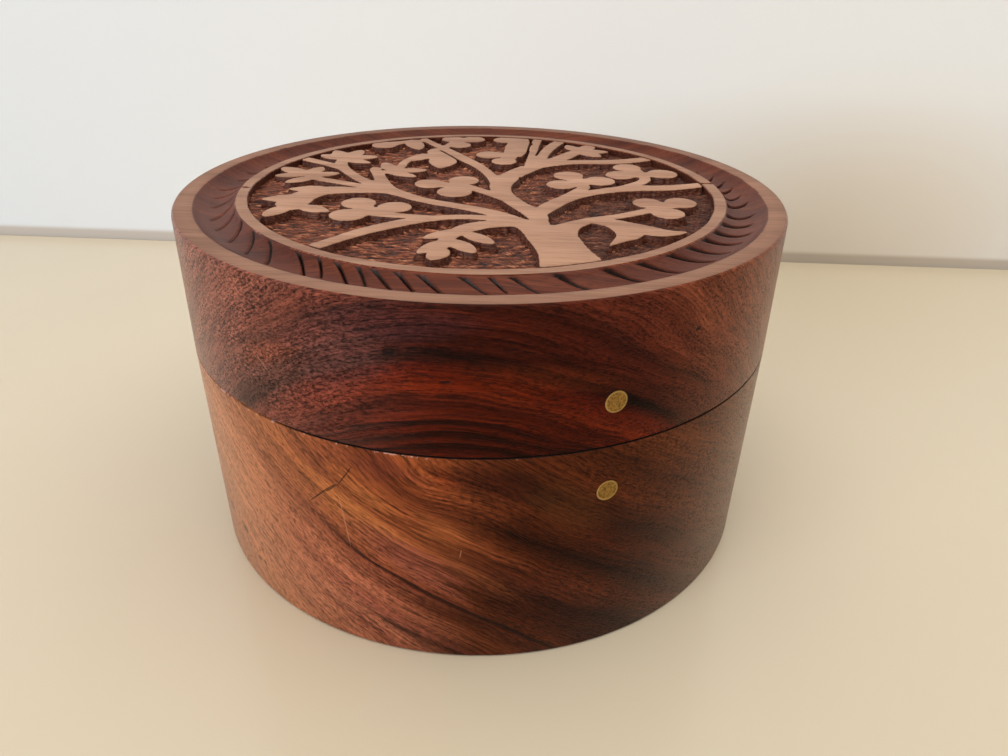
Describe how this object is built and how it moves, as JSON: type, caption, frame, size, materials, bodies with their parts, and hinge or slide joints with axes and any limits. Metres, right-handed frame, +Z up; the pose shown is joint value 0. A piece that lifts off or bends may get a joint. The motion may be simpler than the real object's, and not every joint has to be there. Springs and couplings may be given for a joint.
{
  "type": "rosary box",
  "caption": "Round turned wooden keepsake box with a lift-off carved tree lid, inlaid brass alignment dots and a hidden sliding lock pin.",
  "frame": {"origin": "centre of the foot ring, on the surface that the box stands on", "axes": "+Z up along the turning axis, -Y towards the two brass dots, which are the front"},
  "size_m": [0.15, 0.15, 0.088],
  "materials": {
    "base_wood": "lacquered dark rosewood with brown and orange streaks",
    "lid_wood": "lacquered red-brown rosewood with near-black streaks; matte where it is carved",
    "dot_brass": "sanded flush, dull",
    "pin_steel": "plain drawn rod",
    "felt": "short nap"
  },
  "bodies": {
    "base": {"base_body": "base_wood", "base_index_dot": "dot_brass", "base_lining": "felt"},
    "lid": {"lid_body": "lid_wood", "lid_plug_dot": "dot_brass"},
    "pin": {"lock_pin": "pin_steel"}
  },
  "joints": [
    {"name": "lid_lift", "type": "slide", "parent": "base", "child": "lid", "axis": [0, 0, 1], "range_m": [0, 0.04]},
    {"name": "lock_pin_slide", "type": "slide", "parent": "lid", "child": "pin", "axis": [0, 1, 0], "range_m": [0, 0.0035]}
  ]
}
